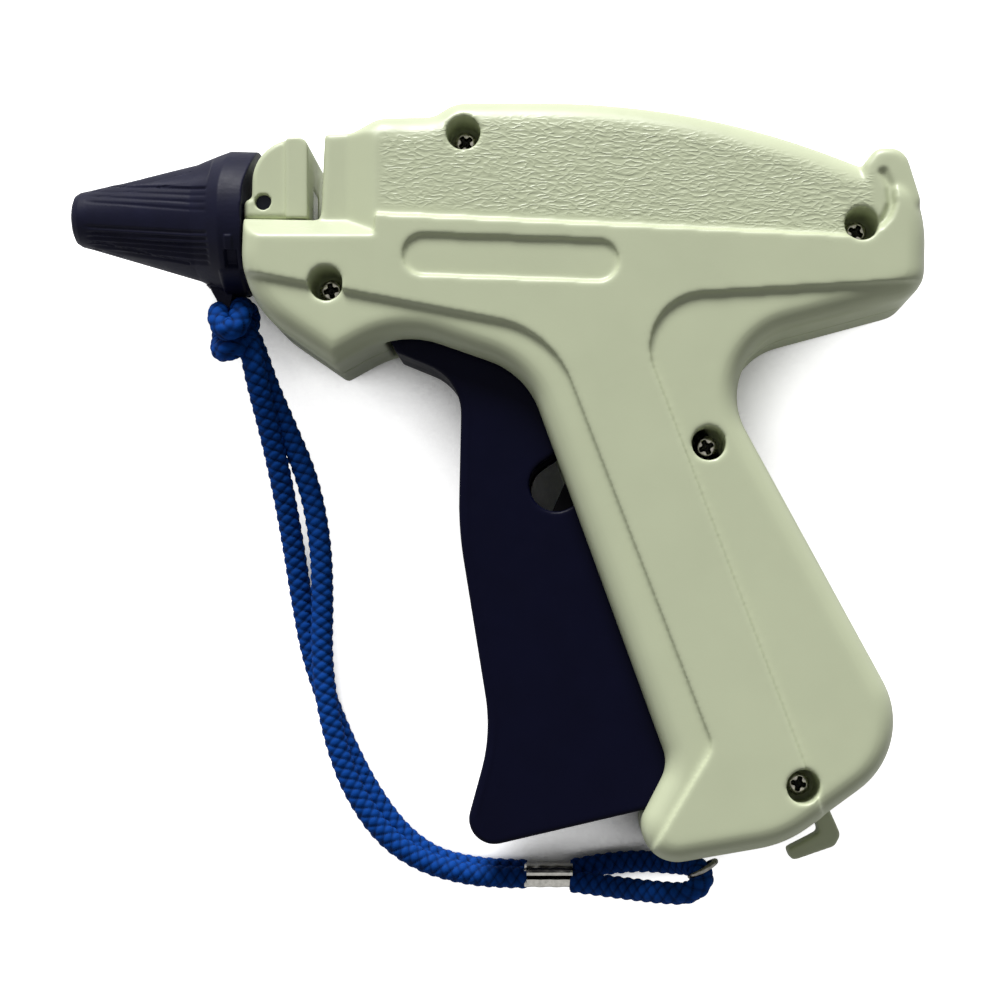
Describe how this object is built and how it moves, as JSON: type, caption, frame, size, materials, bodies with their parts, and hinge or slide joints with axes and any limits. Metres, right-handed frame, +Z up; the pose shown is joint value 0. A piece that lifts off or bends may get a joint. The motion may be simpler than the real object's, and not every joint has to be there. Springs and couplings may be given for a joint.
{
  "type": "garment tag attacher",
  "caption": "Hand-held tagging gun: two-part case, sprung trigger driving an ejector rod through a hollow needle, push-on needle cap on a braided safety cord.",
  "frame": {"origin": "middle of the tool's footprint on the surface it lies on, its free cord left out", "axes": "+X from the needle to the rear end, +Y to the top of the tool, +Z up through its width; it lies on its right side"},
  "size_m": [0.1484, 0.1393, 0.03],
  "materials": {
    "case_abs": "fine-grained injection-moulded ABS, pale greenish ivory",
    "cap_plastic": "matte navy moulded polypropylene",
    "trigger_plastic": "satin navy moulded acetal",
    "lever_plastic": "dark glass-filled nylon",
    "carriage_plastic": "natural acetal",
    "guide_plastic": "dark glass-filled nylon",
    "wheel_plastic": "natural acetal",
    "needle_base_plastic": "moulded red polypropylene",
    "screw_nickel": "dull nickel-plated steel",
    "pin_steel": "ground steel",
    "spring_steel": "drawn spring steel",
    "needle_steel": "polished hardened steel",
    "ferrule_metal": "bright crimped tinned brass",
    "eye_metal": "bent steel wire",
    "cord_braid": "blue braided polyester cord"
  },
  "bodies": {
    "housing": {"left_shell": "case_abs", "right_shell": "case_abs", "case_screws": "screw_nickel", "trigger_pin": "pin_steel", "lever_pin": "pin_steel", "return_spring": "spring_steel", "front_guide": "guide_plastic", "nose_block": "case_abs", "lock_pin": "pin_steel", "needle": "needle_steel", "needle_base": "needle_base_plastic", "cutter_blade": "needle_steel", "feed_wheel_axle": "pin_steel", "detent_spring": "spring_steel", "detent_seat": "guide_plastic", "cord_strand_a": "cord_braid", "cord_strand_b": "cord_braid", "cord_ferrule": "ferrule_metal", "cord_ring_loop": "cord_braid", "lanyard_eye": "eye_metal"},
    "trigger": {"trigger": "trigger_plastic"},
    "drive_lever": {"drive_lever": "lever_plastic", "drive_pin": "pin_steel"},
    "slide": {"carriage": "carriage_plastic", "slider_pin": "pin_steel", "ejector_rod": "pin_steel"},
    "feed_wheel": {"feed_wheel": "wheel_plastic"},
    "nose_cap": {"nose_cap": "cap_plastic", "cord_knot": "cord_braid"}
  },
  "joints": [
    {"name": "trigger_squeeze", "type": "hinge", "parent": "housing", "child": "trigger", "pos_m": [-0.00592, 0.031, 0.015], "axis": [0, 0, 1], "range_deg": [0, 17], "stiffness_Nm_per_rad": 0.9, "springref_deg": -8.59},
    {"name": "lever_swing", "type": "hinge", "parent": "housing", "child": "drive_lever", "pos_m": [0.01858, 0.0093, 0.015], "axis": [0, 0, 1], "range_deg": [0, 47.73]},
    {"name": "slide_travel", "type": "slide", "parent": "housing", "child": "slide", "axis": [-1, 0, 0], "range_m": [0, 0.03502], "stiffness_N_per_m": 40, "springref_m": -0.01, "deforming": ["return_spring"]},
    {"name": "feed_wheel_turn", "type": "hinge", "parent": "housing", "child": "feed_wheel", "pos_m": [-0.02442, 0.0561, 0.015], "axis": [0, 0, 1], "continuous": true},
    {"name": "nose_cap_slide", "type": "slide", "parent": "housing", "child": "nose_cap", "axis": [-1, 0, 0], "range_m": [0, 0.04]}
  ],
  "couplings": [
    {"joint": "lever_swing", "follows": "trigger_squeeze", "ratio": 2.8049},
    {"joint": "slide_travel", "follows": "trigger_squeeze", "m_per_rad": 0.11796}
  ]
}
